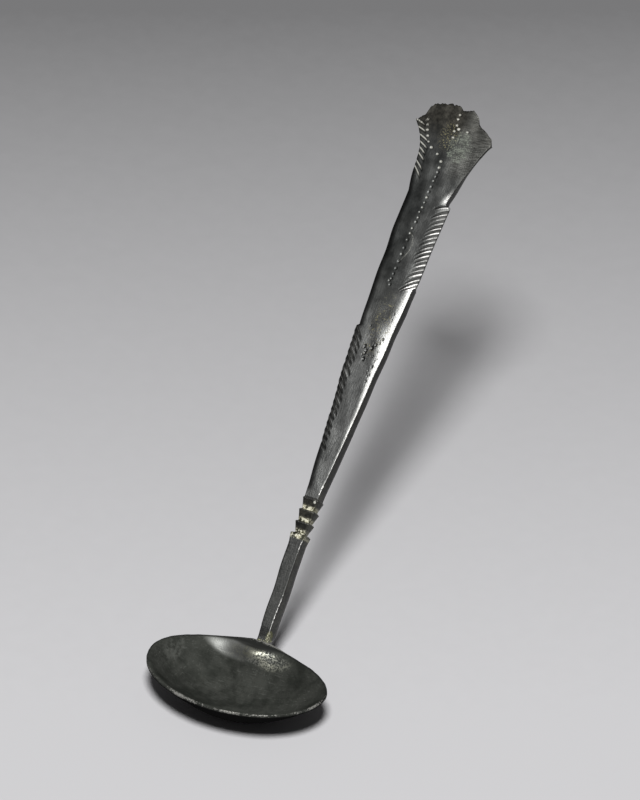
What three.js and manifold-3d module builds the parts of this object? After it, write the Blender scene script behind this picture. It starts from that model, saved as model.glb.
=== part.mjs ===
// Ancient long-handled spoon: a wide shallow bowl and a forged handle in the form of a fish.
// Millimetres, +Z up. The origin is the middle of the small flat under the bowl.
// X runs across the bowl and +Y points from the bowl towards the end of the handle.

import * as THREE from 'three';
import { mergeVertices } from 'three/addons/utils/BufferGeometryUtils.js';
import Module from 'manifold-3d';

// Bowl, seen from above
const bowlHalfWidth = 24.4;
const bowlFrontReach = 16.3;
const bowlBackReach = 12.8;
const shoulderReach = 14.5;
const rootFlare = 1.0;
const widestLineY = 1.5;
const rimWidth = 0.9;
const rimOverhang = 0.08;
const lipAhead = 0.8;
const lipBeside = 1.2;
const hollowBackReach = 9.5;
const lipFade = 2;

// Bowl, seen from the side
const rimHeight = 10.5;
const bowlWall = 0.85;
const hollowPower = 2.4;
const undersidePower = 1.55;
const footShare = 0.25;

// Joint between the bowl's back lip and the handle's tongue
const solderFilm = 0.25;
const jointClearance = 0.3;
const tongueThickness = 1.0;
const tongueHalfWidth = 4.6;
const tongueShoulder = 0.9;
const tongueReach = 3.6;
const tongueCorner = 1.2;
const tongueRootSink = 1.0;

// Line of the handle. It was set a little off the bowl's middle line, its upper face starts
// just ahead of the lip's edge, and its far half drifts sideways.
const handleOffset = -0.9;
const rootForward = 0.5;
const shankAngle = THREE.MathUtils.degToRad(46);
const bladeAngle = THREE.MathUtils.degToRad(41);
const bendStart = 24;
const bendLength = 20;
const swayStart = 110;
const swayAtTip = 1.1;

// Square shank
const shankLength = 28.5;
const shankRootWidth = 2.8;
const shankTopWidth = 3.6;
const shankEndWidth = 4.3;
const shankFlareLength = 2.5;
const shankRootThickness = 5.0;
const shankTopThickness = 4.0;

// Three filed collars, each wider than the one below. Each is widest at its upper edge, with a
// cove below it that passes through a share of the pitch and of the waist's depth.
const collarCount = 3;
const collarPitch = 3.15;
const collarWidth = 3.85;
const collarGrowth = 0.38;
const collarThickness = 4.2;
const collarWaist = 0.65;
const collarEdge = 0.2;
const collarCove = { place: 0.45, waist: 0.6 };

// Fish-shaped blade
const bladeLength = 82.5;
const bladeNeckWidth = 3.8;
const bladeWidth = 11.1;
const bladeThickness = 3.6;
const neckThickness = 4.1;
const neckTaper = 22;
const undersideBevel = 0.3;

// The curve of the blade's side: shares of the blade's length and of its full width
const bladeSwell = { place: 0.26, width: 0.33 };
const bladeShoulder = { place: 0.6, width: 0.48 };

// Side fins: where each starts and ends above the collars, and how proud it stands at its
// lower and its upper end. The blade swells towards it over a lead, up to a small shoulder.
const leftFin = { lead: 0, shoulder: 0, start: 14.5, end: 45.5, rise: 0, proud: 0.8 };
const rightFin = { lead: 14, shoulder: 0.6, start: 59, end: 81, rise: 1.1, proud: 1.4 };
const finStep = 0.5;

// Tail fin with its broken end. Each side's curve has shares of the side's length, and of
// the blade's width at the waist and the tip's at the flare. The broken end has points
// across the tail, each with its depth below the highest one.
const tailLength = 24.4;
const tailHalfWidth = 11.05;
const tailTipDrop = 6.8;
const tailThickness = 1.0;
const tailThinnedAt = 0.7;
const tailWaist = { place: 0.4, leftWidth: 0.65, rightWidth: 0.685 };
const tailFlare = { place: 0.72, leftWidth: 0.51, rightWidth: 0.8 };
const breakEdge = [
  [-1.0, 6.8], [-0.77, 3.8], [-0.74, 2.4], [-0.66, 1.1], [-0.55, 0.8], [-0.25, 0.0],
  [-0.05, 0.1], [0.02, 0.9], [0.25, 0.2], [0.35, 0.6], [0.44, 1.5], [0.5, 2.9],
  [0.72, 4.2], [0.93, 5.7], [1.0, 7.3],
];

// Mesh fineness
const edgeStepsRoot = 2;
const edgeStepsShoulder = 5;
const edgeStepsBack = 7;
const edgeStepsFront = 14;
const hollowRings = 9;
const columnsAcross = 16;
const stationSpacing = 5;
const stationLead = 0.4;
const closestStations = 0.2;
const tailSteps = 9;
const tongueCurveSteps = 6;
const halvings = 30;
const mergeTolerance = 1e-5;

const rootY = widestLineY + shoulderReach;
const lipReach = tongueReach + lipAhead;
const lipSpread = tongueHalfWidth + lipBeside;
const lipUnderside = rimHeight - bowlWall;
const tongueTop = lipUnderside - solderFilm;
const tongueBottom = tongueTop - tongueThickness;
const collarsEnd = shankLength + collarCount * collarPitch;
const tailStart = collarsEnd + bladeLength;
const handleLength = tailStart + tailLength;

// Half of the rim's outline, from the handle round to the front of the bowl, for one side.
// A straight shoulder leaves the corner of the root and runs tangent into the oval.
function halfRimOutline(side) {
  const rootHalfWidth = shankRootWidth / 2 + rootFlare + side * handleOffset;
  const cornerX = rootHalfWidth / bowlHalfWidth;
  const cornerY = shoulderReach / bowlBackReach;
  const cornerDistance = Math.hypot(cornerX, cornerY);
  const tangentAngle = Math.atan2(cornerX, cornerY) + Math.acos(1 / cornerDistance);
  const startAngle = Math.PI / 2 - tangentAngle;
  const back = new THREE.EllipseCurve(
    0, widestLineY, bowlHalfWidth, bowlBackReach, startAngle, 0, true);
  const front = new THREE.EllipseCurve(
    0, widestLineY, bowlHalfWidth, bowlFrontReach, 0, -Math.PI / 2, true);
  const corner = new THREE.Vector2(rootHalfWidth, rootY);
  const middle = new THREE.Vector2(side * handleOffset, rootY);
  const root = new THREE.LineCurve(middle, corner);
  const shoulder = new THREE.LineCurve(corner, back.getPoint(0));
  return [
    ...root.getPoints(edgeStepsRoot).slice(0, -1),
    ...shoulder.getPoints(edgeStepsShoulder).slice(0, -1),
    ...back.getPoints(edgeStepsBack).slice(0, -1),
    ...front.getPoints(edgeStepsFront),
  ].map((p) => new THREE.Vector2(side * p.x, p.y));
}

// The whole rim, closed, as points with their outward directions
function rimOutline() {
  const left = halfRimOutline(-1).slice(1, -1).reverse();
  const points = [...halfRimOutline(1), ...left];
  return points.map((point, i) => {
    const before = points[(i + points.length - 1) % points.length];
    const after = points[(i + 1) % points.length];
    const along = after.clone().sub(before).normalize();
    return { point, outward: new THREE.Vector2(-along.y, along.x) };
  });
}

// Level line of the hollow at a share of the way from its middle to its edge. The edge is
// the rim set in by its width, and pushed in further behind the handle, where a flat lip
// is left for the joint. Deeper lines turn into a plain oval. The underside's lines lie
// further out by the wall.
function hollowLine({ point, outward }, share, wallReach = 0) {
  const line = point.clone().addScaledVector(outward, wallReach - rimWidth);
  if (point.y > widestLineY) {
    const fromHandle = (point.x - handleOffset) / lipSpread;
    const edgeY = line.y - lipReach * Math.exp(-(fromHandle ** 2));
    const fromMiddle = Math.min(Math.abs(line.x) / bowlHalfWidth, 1);
    const ovalY = widestLineY + (hollowBackReach + wallReach) * Math.sqrt(1 - fromMiddle ** 2);
    line.y = THREE.MathUtils.lerp(ovalY, edgeY, share ** lipFade);
  }
  return line.multiplyScalar(share);
}

// A closed lathe whose rings are pushed out to the bowl's outline: down the hollow's side,
// over the rim, and back under it to the flat foot
function bowlGeometry() {
  const rim = rimOutline();
  const rings = [];
  const depth = rimHeight - bowlWall;
  const wallReach = rimWidth - rimOverhang;
  for (let i = 0; i <= hollowRings; i += 1) {
    const share = i / hollowRings;
    const height = bowlWall + depth * share ** hollowPower;
    rings.push({ at: (edge) => hollowLine(edge, share), height });
  }
  rings.push({ at: (edge) => edge.point.clone(), height: rimHeight });
  rings.push({ at: (edge) => edge.point.clone(), height: lipUnderside });
  for (let i = hollowRings; i >= 0; i -= 1) {
    const share = footShare + (1 - footShare) * (i / hollowRings);
    const height = lipUnderside * (i / hollowRings) ** undersidePower;
    rings.push({ at: (edge) => hollowLine(edge, share, wallReach), height });
  }
  rings.push({ at: () => new THREE.Vector2(), height: 0 });

  const profile = rings.map((ring, i) => {
    const onAxis = i === 0 || i === rings.length - 1;
    return new THREE.Vector2(onAxis ? 0 : 1, ring.height);
  });
  const geometry = new THREE.LatheGeometry(profile, rim.length);
  const position = geometry.attributes.position;
  for (let i = 0; i < position.count; i += 1) {
    const ring = rings[i % rings.length];
    const edge = rim[Math.floor(i / rings.length) % rim.length];
    const plan = ring.at(edge);
    position.setXYZ(i, plan.x, plan.y, ring.height);
  }
  return geometry;
}

// Point of the handle: s along its upper face from the bowl's rim, across it, and depth below it
function handlePoint(s, across, depth) {
  const inShank = Math.min(s, bendStart);
  const inBend = THREE.MathUtils.clamp(s - bendStart, 0, bendLength);
  const inBlade = Math.max(s - bendStart - bendLength, 0);
  const turn = bladeAngle - shankAngle;
  const angle = shankAngle + turn * (inBend / bendLength);
  const radius = bendLength / turn;
  const y = inShank * Math.cos(shankAngle)
    + radius * (Math.sin(angle) - Math.sin(shankAngle))
    + inBlade * Math.cos(angle);
  const z = inShank * Math.sin(shankAngle)
    - radius * (Math.cos(angle) - Math.cos(shankAngle))
    + inBlade * Math.sin(angle);
  const sway = swayAtTip * Math.max(s - swayStart, 0) / (handleLength - swayStart);
  return new THREE.Vector3(
    handleOffset + across + sway,
    rootY + jointClearance - rootForward + y + depth * Math.sin(angle),
    rimHeight + z - depth * Math.cos(angle));
}

// How far a fin stands proud of the blade at a distance above the collars
function finProud(fin, aboveCollars) {
  if (aboveCollars < fin.start - fin.lead || aboveCollars > fin.end) {
    return 0;
  }
  if (aboveCollars < fin.start) {
    return fin.shoulder * (1 - (fin.start - aboveCollars) / fin.lead);
  }
  return THREE.MathUtils.mapLinear(aboveCollars, fin.start, fin.end, fin.rise, fin.proud);
}

// Stations along the handle. Each has its place s, its reach to the left and right,
// and the depths of its upper and under faces.
function shankStations() {
  const flareStart = shankLength - shankFlareLength;
  const rootOverrun = 2 * shankRootThickness;
  const station = (s, width, thickness) => (
    { s, left: width / 2, right: width / 2, top: 0, bottom: thickness });
  return [
    station(-rootOverrun, shankRootWidth, shankRootThickness),
    station(0, shankRootWidth, shankRootThickness),
    station(flareStart / 2, (shankRootWidth + shankTopWidth) / 2,
      (shankRootThickness + shankTopThickness) / 2),
    station(flareStart, shankTopWidth, shankTopThickness),
    station(shankLength - collarEdge, shankEndWidth, shankTopThickness),
    station(shankLength, shankEndWidth - 2 * collarEdge, shankTopThickness - collarEdge),
  ];
}

function collarStations() {
  const stations = [];
  for (let i = 0; i < collarCount; i += 1) {
    const start = shankLength + i * collarPitch;
    const halfWidth = (collarWidth + i * collarGrowth) / 2;
    const ring = (s, cut) => stations.push({
      s: start + s,
      left: halfWidth - cut,
      right: halfWidth - cut,
      top: cut,
      bottom: collarThickness - cut,
    });
    ring(collarEdge, collarWaist);
    ring(collarPitch * collarCove.place, collarWaist * collarCove.waist);
    ring(collarPitch - collarEdge, 0);
    ring(collarPitch, collarEdge);
  }
  return stations;
}

// The blade's side is one smooth curve from the neck to the root of the tail
function bladeSide() {
  const neck = new THREE.Vector2(0, bladeNeckWidth / 2);
  const full = new THREE.Vector2(bladeLength, bladeWidth / 2);
  const swell = new THREE.Vector2(
    bladeLength * bladeSwell.place, bladeWidth * bladeSwell.width);
  const shoulder = new THREE.Vector2(
    bladeLength * bladeShoulder.place, bladeWidth * bladeShoulder.width);
  return new THREE.CubicBezierCurve(neck, swell, shoulder, full);
}

// Half width of the blade at a distance above the collars, read off its side curve
function bladeHalfWidth(aboveCollars) {
  const side = bladeSide();
  let low = 0;
  let high = 1;
  for (let i = 0; i < halvings; i += 1) {
    const middle = (low + high) / 2;
    if (side.getPoint(middle).x < aboveCollars) {
      low = middle;
    } else {
      high = middle;
    }
  }
  return side.getPoint(low).y;
}

// Depth of the blade's underside, which falls from the thick neck to the even blade
function bladeDepth(aboveCollars) {
  const tapered = THREE.MathUtils.smoothstep(aboveCollars, 0, neckTaper);
  return THREE.MathUtils.lerp(neckThickness, bladeThickness, tapered);
}

// The fins' ends are stations of their own, so that their steps stay sharp
function bladeStations() {
  const places = [];
  const steps = Math.round(bladeLength / stationSpacing);
  for (let i = 0; i < steps; i += 1) {
    places.push(stationLead + (bladeLength - stationLead) * (i / steps));
  }
  for (const fin of [leftFin, rightFin]) {
    places.push(fin.start - finStep, fin.start, fin.end, fin.end + finStep);
  }
  places.sort((a, b) => a - b);
  const spread = places.filter(
    (place, i) => i === 0 || place - places[i - 1] > closestStations);
  return spread.map((place) => ({
    s: collarsEnd + place,
    left: bladeHalfWidth(place) + finProud(leftFin, place),
    right: bladeHalfWidth(place) + finProud(rightFin, place),
    top: 0,
    bottom: bladeDepth(place),
  }));
}

// How far the broken end falls short of the handle's full length, across the tail
function breakDepth(across) {
  const last = breakEdge.length - 2;
  let i = 0;
  while (i < last && breakEdge[i + 1][0] < across) {
    i += 1;
  }
  const [fromAcross, fromDepth] = breakEdge[i];
  const [toAcross, toDepth] = breakEdge[i + 1];
  const share = (across - fromAcross) / (toAcross - fromAcross);
  return (fromDepth + (toDepth - fromDepth) * share) * (tailTipDrop / breakEdge[0][1]);
}

// One side of the tail, which flares from the blade to a tip
function tailSide(waistWidth, flareWidth) {
  const tipPlace = tailLength - tailTipDrop;
  const root = new THREE.Vector2(0, bladeWidth / 2);
  const waist = new THREE.Vector2(tipPlace * tailWaist.place, bladeWidth * waistWidth);
  const flare = new THREE.Vector2(tipPlace * tailFlare.place, tailHalfWidth * flareWidth);
  const tip = new THREE.Vector2(tipPlace, tailHalfWidth);
  return new THREE.CubicBezierCurve(root, waist, flare, tip);
}

// The tail's two sides flare out to their tips while the metal thins
function tailStations() {
  const tipPlace = tailLength - tailTipDrop;
  const left = tailSide(tailWaist.leftWidth, tailFlare.leftWidth);
  const right = tailSide(tailWaist.rightWidth, tailFlare.rightWidth);
  const stations = [];
  for (let i = 0; i <= tailSteps; i += 1) {
    const share = i / tailSteps;
    const point = left.getPoint(share);
    const thinning = THREE.MathUtils.smoothstep(share, 0, tailThinnedAt);
    stations.push({
      s: tailStart + point.x,
      left: point.y,
      right: right.getPoint(share).y,
      top: 0,
      bottom: THREE.MathUtils.lerp(bladeThickness, tailThickness, thinning),
      tail: point.x / tipPlace,
    });
  }
  return stations;
}

// The bar is a long box with a ring of points at each station, bent along the handle's line
function barGeometry() {
  const stations = [
    ...shankStations(), ...collarStations(), ...bladeStations(), ...tailStations()];
  const steps = stations.length - 1;
  const geometry = new THREE.BoxGeometry(2, 2, steps, columnsAcross, 2, steps);
  const position = geometry.attributes.position;
  for (let i = 0; i < position.count; i += 1) {
    const station = stations[Math.round(steps / 2 - position.getZ(i))];
    const column = position.getX(i);
    const level = (1 - position.getY(i)) / 2;
    const bevel = level === 1 && station.s > collarsEnd ? undersideBevel : 0;
    const reach = (column < 0 ? station.left : station.right) - bevel;
    const stretch = station.tail ?? 0;
    const tipGain = tailTipDrop - breakDepth(column);
    const point = handlePoint(
      station.s + stretch * tipGain,
      column * reach,
      THREE.MathUtils.lerp(station.top, station.bottom, level));
    position.setXYZ(i, point.x, point.y, point.z);
  }
  return geometry;
}

// Plan of the tongue that laps under the bowl's lip
function tongueShape(endY) {
  const frontY = rootY - tongueReach;
  const shoulderY = rootY - tongueShoulder;
  const rootLeft = handleOffset - shankRootWidth / 2;
  const rootRight = handleOffset + shankRootWidth / 2;
  const left = handleOffset - tongueHalfWidth;
  const right = handleOffset + tongueHalfWidth;
  const cornerY = frontY + tongueCorner;
  const shape = new THREE.Shape();
  shape.moveTo(rootLeft, endY);
  shape.lineTo(rootLeft, rootY);
  shape.lineTo(left, shoulderY);
  shape.lineTo(left, cornerY);
  shape.quadraticCurveTo(left, frontY, handleOffset, frontY);
  shape.quadraticCurveTo(right, frontY, right, cornerY);
  shape.lineTo(right, shoulderY);
  shape.lineTo(rootRight, rootY);
  shape.lineTo(rootRight, endY);
  shape.closePath();
  return shape;
}

// A flat plate of a plan, standing on a height
function plate(shape, thickness, height) {
  const geometry = new THREE.ExtrudeGeometry(
    shape, { depth: thickness, bevelEnabled: false, curveSegments: tongueCurveSteps });
  return geometry.translate(0, 0, height);
}

function block(low, high) {
  const size = new THREE.Vector3().subVectors(high, low);
  const geometry = new THREE.BoxGeometry(size.x, size.y, size.z);
  return geometry.translate((low.x + high.x) / 2, (low.y + high.y) / 2, (low.z + high.z) / 2);
}

const wasm = await Module();
wasm.setup();

function solid(geometry) {
  const bare = geometry.clone();
  bare.deleteAttribute('normal');
  bare.deleteAttribute('uv');
  const merged = mergeVertices(bare, mergeTolerance);
  return new wasm.Manifold(new wasm.Mesh({
    numProp: 3,
    vertProperties: merged.attributes.position.array,
    triVerts: new Uint32Array(merged.index.array),
  }));
}

function geometryOf(manifold) {
  const result = manifold.getMesh();
  const geometry = new THREE.BufferGeometry();
  geometry.setAttribute('position', new THREE.BufferAttribute(result.vertProperties, 3));
  geometry.setIndex(new THREE.BufferAttribute(result.triVerts, 1));
  geometry.computeVertexNormals();
  return geometry;
}

// The handle: the bar is cut level under its root and let past the edge of the lip,
// and the tongue grows out of its foot
function handleGeometry() {
  const span = handleLength;
  const slotBack = rootY + jointClearance;
  const below = block(
    new THREE.Vector3(-span, -span, -span), new THREE.Vector3(span, span, tongueBottom));
  const slot = block(
    new THREE.Vector3(-span, -span, tongueTop), new THREE.Vector3(span, slotBack, span));
  const tongue = plate(
    tongueShape(slotBack + tongueRootSink), tongueThickness, tongueBottom);
  return geometryOf(
    solid(barGeometry()).subtract(solid(below)).subtract(solid(slot)).add(solid(tongue)));
}

const darkSilver = { color: 0x4a4b4a, roughness: 0.42, metalness: 0.9 };

function subPart(name, geometry, look) {
  const mesh = new THREE.Mesh(geometry, new THREE.MeshStandardMaterial(look));
  mesh.name = name;
  return mesh;
}

const spoon = new THREE.Group();
spoon.add(subPart('bowl', bowlGeometry(), darkSilver));
spoon.add(subPart('handle', handleGeometry(), darkSilver));
spoon.add(subPart('solder_film', plate(tongueShape(rootY), solderFilm, tongueTop),
  { color: 0x8d8a6c, roughness: 0.6, metalness: 0.8 }));

export default spoon;
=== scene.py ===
import math

import bpy
import numpy as np
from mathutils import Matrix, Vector


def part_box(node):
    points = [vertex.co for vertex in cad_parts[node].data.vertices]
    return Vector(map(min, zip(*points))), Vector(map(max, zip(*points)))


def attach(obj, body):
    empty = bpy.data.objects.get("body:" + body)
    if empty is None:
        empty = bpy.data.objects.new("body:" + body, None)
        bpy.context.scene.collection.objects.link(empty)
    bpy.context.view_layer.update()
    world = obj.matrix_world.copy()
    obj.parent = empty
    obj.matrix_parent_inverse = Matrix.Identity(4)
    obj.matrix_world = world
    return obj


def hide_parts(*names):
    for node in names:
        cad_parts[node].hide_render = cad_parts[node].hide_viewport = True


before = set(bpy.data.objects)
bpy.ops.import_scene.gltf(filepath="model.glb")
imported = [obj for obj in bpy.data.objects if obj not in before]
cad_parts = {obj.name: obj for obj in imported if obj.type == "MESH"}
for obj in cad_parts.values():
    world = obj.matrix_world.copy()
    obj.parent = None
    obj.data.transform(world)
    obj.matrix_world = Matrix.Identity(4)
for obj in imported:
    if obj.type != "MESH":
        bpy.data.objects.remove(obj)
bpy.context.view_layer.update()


# The bowl
# One sheet of silver, hammered into a wide shallow oval. At the back its edge was left as a
# small flat lip for the joint. The rim was filed level, and has worn bright in places.

# Sizes are in millimetres: x to the right, y from the front to the handle, z up
bowl_low, bowl_high = [np.array(corner) * 1000 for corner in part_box("bowl")]
rim_height = bowl_high[2]
bowl_half_width = bowl_high[0]
root_y = bowl_high[1]
root_half_width = 2.4
handle_offset = -0.9
widest_line_y = 1.5
bowl_back_reach = 12.8
bowl_front_reach = widest_line_y - bowl_low[1]
bowl_wall = 0.85
lip_underside = rim_height - bowl_wall
rim_width = 0.9
rim_overhang = 0.08
lip_reach = 4.4
lip_spread = 5.8
lip_fade = 2
hollow_back_reach = 9.5
hollow_depth = rim_height - bowl_wall
hollow_power = 2.4
underside_power = 1.55
foot_share = 0.25

rim_points = 420
rim_wear = 0.05
edge_rounding = 0.3
wall_slope = 1.7
front_softness = 0.7
back_softness = 2.2
hammer_depth = 0.05
hammer_width = 11
dent_depth = 0.05
dent_width = 6


def unevenness(seed, wavelength, *place):
    """Smooth random waves of about unit height, over places of any number of coordinates."""
    random = np.random.default_rng(seed)
    waves = 16
    total = 0
    for _ in range(waves):
        direction = random.normal(size=len(place))
        direction /= np.linalg.norm(direction)
        pitch = wavelength * random.uniform(0.6, 1.7)
        phase = random.uniform(0, 2 * math.pi)
        run = sum(share * coordinate for share, coordinate in zip(direction, place))
        total = total + np.sin(2 * math.pi / pitch * run + phase)
    return total * math.sqrt(2 / waves)


def smoothstep(low, high, value):
    """0 at low and 1 at high, with a smooth change between. low may be the higher of the two."""
    share = np.clip((value - low) / (high - low), 0, 1)
    return share * share * (3 - 2 * share)


def smooth_minimum(first, second, rounding):
    """The lower of two heights, rounded off where they cross."""
    share = np.clip(0.5 + 0.5 * (second - first) / rounding, 0, 1)
    return second + (first - second) * share - rounding * share * (1 - share)


def half_rim(side):
    """Half of the rim seen from above: root, straight shoulder and oval, for one side."""
    corner = np.array([root_half_width + side * handle_offset, root_y])
    corner_x = corner[0] / bowl_half_width
    corner_y = (root_y - widest_line_y) / bowl_back_reach
    tangent = math.atan2(corner_x, corner_y) + math.acos(1 / math.hypot(corner_x, corner_y))
    back = np.linspace(math.pi / 2 - tangent, 0, 200)
    front = np.linspace(0, -math.pi / 2, 200)
    oval = [
        np.stack([bowl_half_width * np.cos(angle), widest_line_y + reach * np.sin(angle)], 1)
        for angle, reach in ((back, bowl_back_reach), (front, bowl_front_reach))]
    line = np.vstack([[side * handle_offset, root_y], corner, *oval])
    return line * [side, 1]


def along_line(line, shares):
    """Points at these shares of a line's length."""
    distance = np.concatenate([[0], np.cumsum(np.linalg.norm(np.diff(line, axis=0), axis=1))])
    return np.stack([np.interp(shares * distance[-1], distance, axis) for axis in line.T], 1)


rim_line = np.vstack([half_rim(1), half_rim(-1)[::-1], half_rim(1)[:1]])
rim = along_line(rim_line, np.arange(rim_points) / rim_points)
for _ in range(4):
    rim = (np.roll(rim, 1, axis=0) + 2 * rim + np.roll(rim, -1, axis=0)) / 4
along_rim = np.roll(rim, -1, axis=0) - np.roll(rim, 1, axis=0)
along_rim /= np.linalg.norm(along_rim, axis=1)[:, None]
outward = np.stack([-along_rim[:, 1], along_rim[:, 0]], 1)
worn_away = 0.5 + 0.5 * np.clip(unevenness(11, 9, rim[:, 0], rim[:, 1]), -1, 1)
worn_away += 0.5 * np.clip(unevenness(12, 2.5, rim[:, 0], rim[:, 1]), -1, 1)
away_from_root = smoothstep(2, 5, np.abs(rim[:, 0] - handle_offset) + root_y - rim[:, 1])
rim_edge = rim - outward * (rim_wear * worn_away * away_from_root)[:, None]


def hollow_line(share, wall_reach=0):
    """Level line of the hollow, or of the underside further out by the wall."""
    line = rim + outward * (wall_reach - rim_width)
    behind = rim[:, 1] > widest_line_y
    from_handle = (rim[:, 0] - handle_offset) / lip_spread
    edge_y = line[:, 1] - lip_reach * np.exp(-from_handle ** 2)
    from_middle = np.minimum(np.abs(line[:, 0]) / bowl_half_width, 1)
    oval_y = widest_line_y + (hollow_back_reach + wall_reach) * np.sqrt(1 - from_middle ** 2)
    faded = oval_y + (edge_y - oval_y) * share ** lip_fade
    line[:, 1] = np.where(behind, faded, line[:, 1])
    return line * share


def bulge(share):
    """1 halfway between 0 and 1, and 0 at both."""
    return 4 * share * (1 - share)


# Rings run from the middle of the hollow over the rim and under the bowl to its foot. Their
# looks are how far they lie over the rim and how far on the underside, from 0 to 1. The wall
# turns over into the rim in a rounded edge, which is broader at the back
edge_softness = front_softness + (back_softness - front_softness) * smoothstep(3, 10, rim[:, 1])
inner_edge = hollow_line(1)
rim_span = np.linalg.norm(rim_edge - inner_edge, axis=1)
bowl_rings, ring_looks = [], []


def add_ring(plan, height, over_rim=0.0, under=0.0):
    bowl_rings.append(np.column_stack([plan, np.broadcast_to(height, rim_points)]))
    ring_looks.append((over_rim, under))


for share in np.concatenate([np.linspace(0.03, 0.8, 30), np.linspace(0.82, 1, 16)]):
    plan = hollow_line(share)
    height = smooth_minimum(
        bowl_wall + hollow_depth * share ** hollow_power, rim_height, edge_softness)
    hammering = unevenness(13, hammer_width, plan[:, 0], plan[:, 1])
    add_ring(plan, height + hammer_depth * bulge(share) * hammering)
for share in (0.12, 0.24, 0.38, 0.52, 0.66, 0.78, 0.87, 0.94, 1):
    plan = inner_edge + (rim_edge - inner_edge) * share
    height = smooth_minimum(
        rim_height + wall_slope * rim_span * share, rim_height, edge_softness)
    to_edge = np.minimum(rim_span * (1 - share), edge_rounding)
    height = height - edge_rounding + np.sqrt(
        edge_rounding ** 2 - (edge_rounding - to_edge) ** 2)
    add_ring(plan, height, share)
side_top = rim_height - edge_rounding
for share in (0.35, 0.7, 1):
    add_ring(rim_edge, side_top + (lip_underside - side_top) * share, 1 - 0.8 * share, share)
for share in np.linspace(1, 0, 30):
    plan = hollow_line(foot_share + (1 - foot_share) * share, rim_width - rim_overhang)
    dents = 1 + unevenness(14, dent_width, plan[:, 0], plan[:, 1])
    height = lip_underside * share ** underside_power + dent_depth * bulge(share) * dents
    add_ring(plan, height, 0, 1)
add_ring(hollow_line(foot_share * 0.1, rim_width - rim_overhang), 0.0, 0, 1)


def tube_faces(rings, around):
    """Quads between closed rings of points, each ring to the next."""
    first = np.arange(rings - 1)[:, None] * around
    here = first + np.arange(around)
    beside = first + (np.arange(around) + 1) % around
    quads = np.stack([here, beside, beside + around, here + around], axis=-1)
    return quads.reshape(-1, 4).tolist()


def add_object(name, data):
    made = bpy.data.objects.new(name, data)
    bpy.context.scene.collection.objects.link(made)
    return made


def metal_piece(name, points, faces, looks):
    """A piece from points in millimetres. Each look is a value for every point."""
    mesh = bpy.data.meshes.new(name)
    mesh.from_pydata((points / 1000).tolist(), [], faces)
    mesh.polygons.foreach_set("use_smooth", np.ones(len(mesh.polygons), bool))
    for look, values in looks.items():
        attribute = mesh.attributes.new(look, "FLOAT", "POINT")
        attribute.data.foreach_set("value", np.ravel(values).astype(np.float32))
    mesh.update()
    return add_object(name, mesh)


# Bright wear on the rim: x and y of its places, each with its reach, its strength and how far
# over the rim it begins
rim_wear_places = [
    (-9.0, -13.6, 3.0, 0.9, 0.2), (-4.0, -14.6, 2.5, 0.6, 0.3), (5.5, -14.3, 4.0, 0.8, 0.5),
    (14.0, -11.8, 5.0, 0.5, 0.6), (23.0, -2.5, 3.5, 0.8, 0.5), (4.5, 14.8, 5.0, 2.8, 0.75),
    (-20.0, -7.0, 5.0, 0.35, 0.6)]
bowl_points = np.vstack(bowl_rings)
over_rim, under = np.repeat(np.array(ring_looks), rim_points, axis=0).T
bowl_wear = 0.06 * smoothstep(0.5, 0.9, over_rim)
for x, y, reach, strength, start in rim_wear_places:
    distance = np.hypot(bowl_points[:, 0] - x, bowl_points[:, 1] - y)
    begun = smoothstep(start, start + 0.2, over_rim)
    bowl_wear += strength * np.exp(-(distance / reach) ** 2) * begun
# Painted shade: the rim's top is painted darker at the sides and the back
rim_top_shade = smoothstep(0.3, 0.5, over_rim) * smoothstep(-8, 0, bowl_points[:, 1])

# Two points close the bowl, in the middle of the hollow and of the foot
middle_of_hollow = len(bowl_points)
middle_of_foot = middle_of_hollow + 1
last_ring = middle_of_hollow - rim_points
bowl_points = np.vstack([bowl_points, [0, 0, bowl_wall], [0, 0, 0]])
bowl_faces = tube_faces(len(bowl_rings), rim_points)
next_points = [(here + 1) % rim_points for here in range(rim_points)]
bowl_faces += [[middle_of_hollow, b, a] for a, b in enumerate(next_points)]
bowl_faces += [[middle_of_foot, last_ring + a, last_ring + b] for a, b in enumerate(next_points)]
bowl = metal_piece("hammered_bowl", bowl_points, bowl_faces, {
    "wear_and_glint": np.append(bowl_wear, [0, 0]),
    "rim_top_shade": np.append(rim_top_shade, [0, 0]),
    "under": np.append(under, [0, 1])})


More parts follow.
